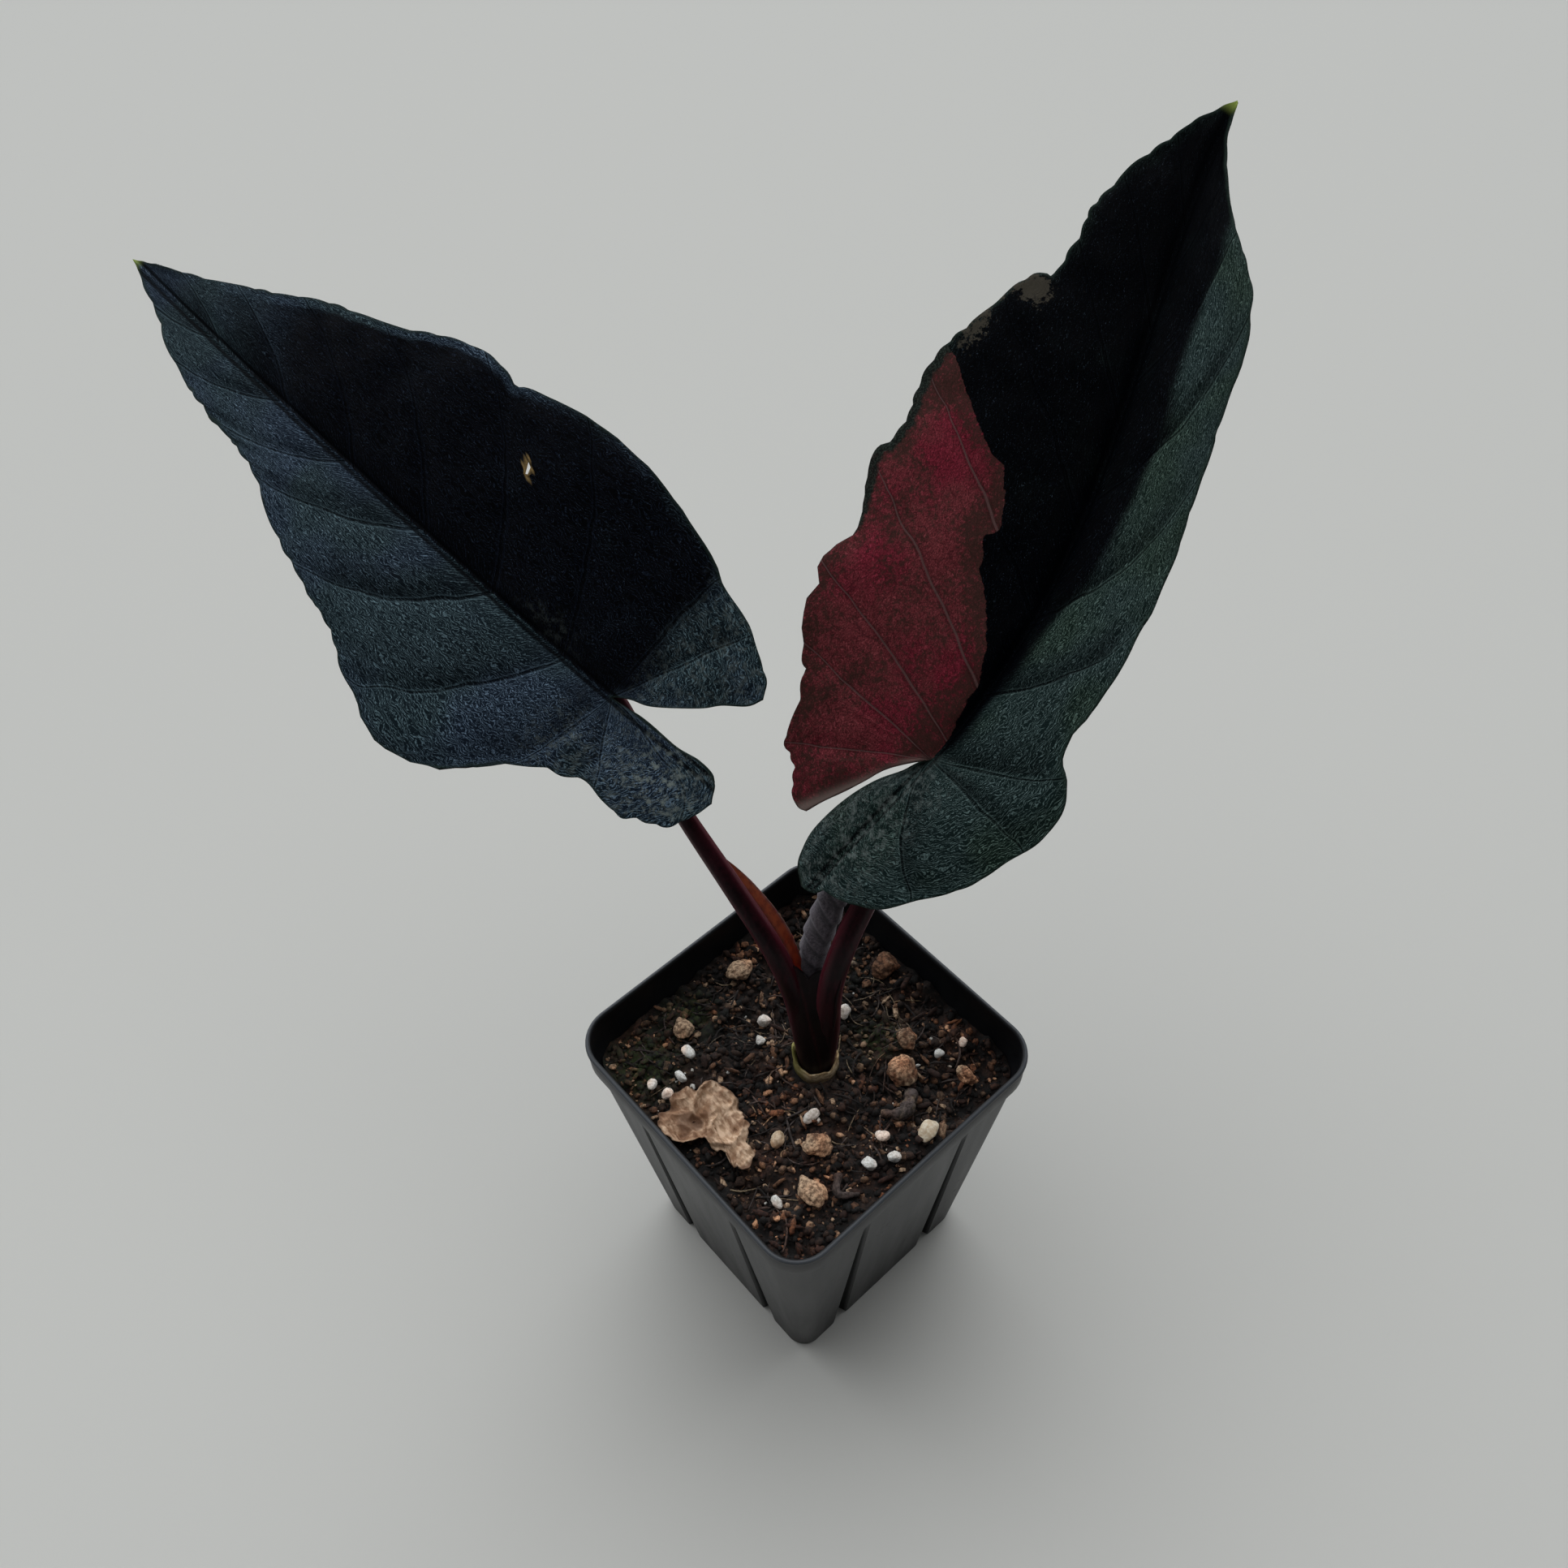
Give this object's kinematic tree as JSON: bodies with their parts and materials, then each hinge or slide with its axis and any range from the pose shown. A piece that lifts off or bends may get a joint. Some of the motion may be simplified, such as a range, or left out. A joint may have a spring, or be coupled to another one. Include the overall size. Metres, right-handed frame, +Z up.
{
  "type": "potted alocasia",
  "caption": "Young potted alocasia: two dark velvety arrow-shaped leaves, one part pink, and a furled leaf, in a tall tapered square nursery pot of bark mix.",
  "frame": {"origin": "middle of the pot's flat underside", "axes": "+Z up; X and Y along the pot's sides, the left leaf reaching towards +Y and the right leaf towards +X"},
  "size_m": [0.2314, 0.2592, 0.285],
  "materials": {
    "pot_plastic": "satin",
    "mix": "matte",
    "root": "matte",
    "stalk": "satin",
    "left_leaf": "satin",
    "right_leaf": "satin",
    "new_leaf": "matte",
    "membrane": "satin",
    "old_sheath": "matte",
    "dried_leaf": "matte",
    "seed": "matte",
    "twig": "matte",
    "perlite": "matte",
    "bark": "matte"
  },
  "bodies": {
    "root": {"pot": "pot_plastic", "potting_mix": "mix", "corm": "root", "left_stalk": "stalk", "right_stalk": "stalk", "left_blade": "left_leaf", "right_blade": "right_leaf", "furled_leaf": "new_leaf", "left_sheath": "membrane", "right_sheath": "membrane", "old_sheath": "old_sheath", "dried_leaf": "dried_leaf", "pale_seed": "seed", "ring_grain": "seed", "grey_twig": "twig", "brown_twig": "twig", "pale_straw": "twig", "perlite_01": "perlite", "perlite_02": "perlite", "perlite_03": "perlite", "perlite_04": "perlite", "perlite_05": "perlite", "perlite_06": "perlite", "perlite_07": "perlite", "perlite_08": "perlite", "perlite_09": "perlite", "perlite_10": "perlite", "perlite_11": "perlite", "perlite_12": "perlite", "perlite_13": "perlite", "perlite_14": "perlite", "bark_chip_01": "bark", "bark_chip_02": "bark", "bark_chip_03": "bark", "bark_chip_04": "bark", "bark_chip_05": "bark", "bark_chip_06": "bark", "bark_chip_07": "bark", "bark_chip_08": "bark"}
  },
  "joints": []
}
